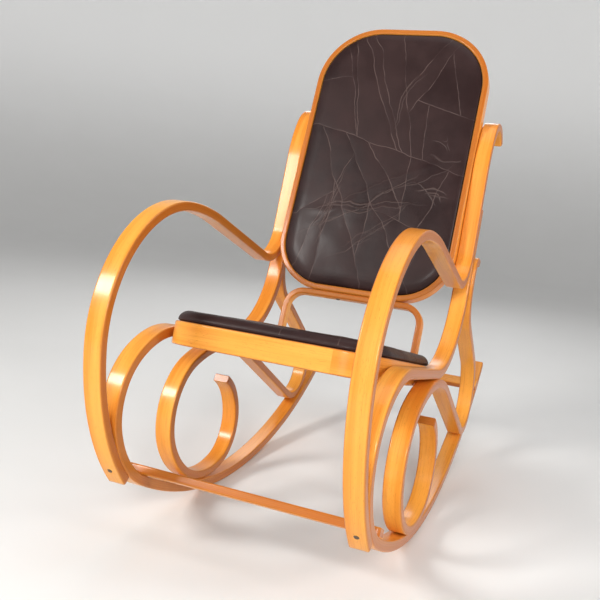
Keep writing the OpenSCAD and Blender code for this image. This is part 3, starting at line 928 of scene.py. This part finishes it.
def back_folds(x, y):
    """Slack leather low on the back, and one long soft fold rising to the right."""
    folds = fold_line(x, y, (-150, -195), (165, 10), 14, 9.0, 0.9)
    folds += fold_line(x, y, (-170, -150), (90, -110), -10, 11.0, 0.7)
    low = np.clip((-60 - y) / 150, 0, 1)
    folds += low * ripples(x, y, 0.018, 4.0)
    return folds + 0.7 * ripples(x, y, 0.009, 8.0)


def seat_folds(x, y):
    return 1.3 * ripples(x, y, 0.010, 21.0) + 0.5 * ripples(x, y, 0.03, 27.0)


def rear_folds(x, y):
    return 0.5 * ripples(x, y, 0.012, 33.0)


seat_outline = (
    INNER_HALF - CUSHION_LIP, CUSHION_LIP, SEAT_DEPTH - CUSHION_LIP,
    SEAT_FRONT_RADIUS - CUSHION_LIP, SEAT_REAR_RADIUS - CUSHION_LIP,
)
seat_pad = make_pad(
    "seat_pad_leather", on_seat, lambda x, y, z: Vector((x, y, z)), seat_outline,
    {"roll": 19, "rise": 17, "crown": 5.2, "edge": 3.0, "below": 2.8, "tuck": 4,
     "patches": 13, "puff": 0.35, "creases": SEAT_CREASES, "folds": seat_folds},
    ["seat_leather", "seat_foam"], leather, 5,
)

pad_inset = BACK_WALL + 0.8
back_outline = (
    INNER_HALF - pad_inset, -BACK_HEIGHT / 2 + pad_inset, BACK_HEIGHT / 2 - pad_inset,
    BACK_BOTTOM_RADIUS - pad_inset, BACK_TOP_RADIUS - pad_inset,
)
back_pad = make_pad(
    "back_pad_leather", on_back, lambda x, y, z: Vector((x, -z, y)), back_outline,
    {"roll": 34, "rise": 10, "crown": 3.6, "edge": -4.8, "below": 4, "tuck": 1,
     "patches": 25, "puff": 0.3, "creases": BACK_CREASES, "folds": back_folds},
    ["back_leather", "back_foam"], leather, 12,
)

rear_skin = make_pad(
    "back_rear_skin", on_back, lambda x, y, z: Vector((-x, z + BACK_BOARD_SET, y)), back_outline,
    {"roll": 6, "rise": 1.2, "crown": 2.4, "edge": 1.2, "below": 1.1, "tuck": 0.5,
     "puff": 0.0, "folds": rear_folds},
    ["back_rear_leather"], leather, 31, step=5.0,
)

cloth_half = INNER_HALF - SEAT_WALL - 0.3
cloth_outline = (
    cloth_half, SEAT_WALL + 0.3, SEAT_DEPTH - SEAT_WALL - 0.3,
    SEAT_FRONT_RADIUS - SEAT_WALL, SEAT_REAR_RADIUS - SEAT_WALL,
)
under_cloth = make_pad(
    "seat_bottom_lining", on_seat, lambda x, y, z: Vector((-x, y, -z - SEAT_HEIGHT + 1.5)),
    cloth_outline,
    {"roll": 4, "rise": 0.8, "crown": 2.0, "edge": 0.4, "below": 0.4, "tuck": 0.4,
     "puff": 0.0, "folds": rear_folds},
    ["seat_bottom_cloth"], lining, 43, step=6.0,
)


# ---------------------------------------------------------------- carried-over nodes
def dress(node, material):
    piece = bpy.data.objects[node]
    for slot in piece.material_slots:
        slot.material = material
    if not piece.material_slots:
        piece.data.materials.append(material)


for part in frame["record"]["subparts"]:
    if part["material_slot"] == "steel":
        dress(part["node"], steel)
for node in ("seat_board", "back_board", "scroll_dowels", "crossbar_dowels"):
    dress(node, plywood)


# ---------------------------------------------------------------- floor, light, camera
def make_floor():
    """A pale round floor that curves up into a wall a long way off, all round. The wall glows more
    the higher it rises, as painted light.
    """
    profile = [(0.0, 0.0), (3.0, 0.0), (5.0, 0.0)]
    profile += [
        (5.0 + 3.0 * math.sin(a), 3.0 - 3.0 * math.cos(a))
        for a in (math.radians(d) for d in range(6, 91, 6))
    ]
    profile += [(8.0, 4.5), (8.0, 6.0)]
    count = 96
    points = [(0.0, 0.0, -0.0005)]
    for radius, height in profile[1:]:
        for i in range(count):
            a = 2 * math.pi * i / count
            points.append((radius * math.cos(a), radius * math.sin(a), height - 0.0005))
    faces = [(0, 1 + i, 1 + (i + 1) % count) for i in range(count)]
    for r in range(len(profile) - 2):
        for i in range(count):
            a, b = 1 + r * count + i, 1 + r * count + (i + 1) % count
            faces.append((a, a + count, b + count, b))
    mesh = bpy.data.meshes.new("studio_floor")
    mesh.from_pydata(points, [], faces)
    mesh.polygons.foreach_set("use_smooth", np.ones(len(faces), dtype=bool))
    n = Nodes("pale_floor")
    where = n.add("ShaderNodeTexCoord").outputs["Object"]
    cloudy = n.noise(n.scaled(where, (3, 3, 3)), 2.0)
    height = n.add("ShaderNodeSeparateXYZ", {"Vector": where}).outputs["Z"]
    mesh.materials.append(
        n.finish(
            Base_Color=n.mix(cloudy, (0.80, 0.80, 0.795), (0.83, 0.83, 0.83)), Roughness=0.8,
            # Painted light: the wall glows, more the higher it rises, so the backdrop reads near
            # white.
            Emission_Color=(1.0, 1.0, 1.0, 1.0),
            Emission_Strength=n.span(height, 0.05, 2.2, 0.0, 0.24),
        )
    )
    thing = bpy.data.objects.new("studio_floor", mesh)
    scene.collection.objects.link(thing)
    return thing


floor = make_floor()

WORLD_STRENGTH = 0.17
world = bpy.data.worlds.new("studio_world")
scene.world = world
world.use_nodes = True
background = world.node_tree.nodes["Background"]
background.inputs["Color"].default_value = (1.0, 0.995, 0.985, 1.0)
background.inputs["Strength"].default_value = WORLD_STRENGTH

chair_middle = Vector((0, 0, 0.5))


def soft_light(name, place, size, power, colour=(1, 1, 1), target=chair_middle):
    lamp = bpy.data.lights.new(name, "AREA")
    lamp.shape = "RECTANGLE"
    lamp.size, lamp.size_y = size
    lamp.energy = power
    lamp.color = colour
    thing = bpy.data.objects.new(name, lamp)
    thing.location = place
    thing.rotation_euler = (target - Vector(place)).to_track_quat("-Z", "Y").to_euler()
    scene.collection.objects.link(thing)


soft_light("key_light", (-2.0, -2.7, 2.3), (0.8, 0.8), 88, (1.0, 0.985, 0.95))
soft_light("front_light", (0.7, -3.0, 1.6), (0.6, 0.6), 42, (1.0, 0.985, 0.95))
soft_light("side_light", (2.5, -0.5, 1.25), (0.6, 1.3), 30, (1.0, 0.99, 0.97))
soft_light("top_light", (0.1, 0.3, 2.9), (1.6, 1.6), 12)
soft_light("rear_light", (-0.8, 2.6, 1.8), (1.4, 1.0), 14)

# The camera stands at the front, to the chair's own left, and a little above the arms.
# It aims at the armrest's middle in the profile's axes, and leans with them.
CAMERA_PLACE = Vector((0.524, -1.2605, 0.5736))
CAMERA_SENSOR_MM = 36.0
CAMERA_LENS_MM = 46.75
camera_data = bpy.data.cameras.new("camera")
camera_data.sensor_width = CAMERA_SENSOR_MM
camera_data.lens = CAMERA_LENS_MM
camera = bpy.data.objects.new("camera", camera_data)
scene.collection.objects.link(camera)
aim = (-CAMERA_PLACE).to_track_quat("-Z", "Y").to_matrix().to_4x4()
camera.matrix_world = rest @ Matrix.Translation(CAMERA_PLACE) @ aim
scene.camera = camera
scene.view_settings.view_transform = "Standard"
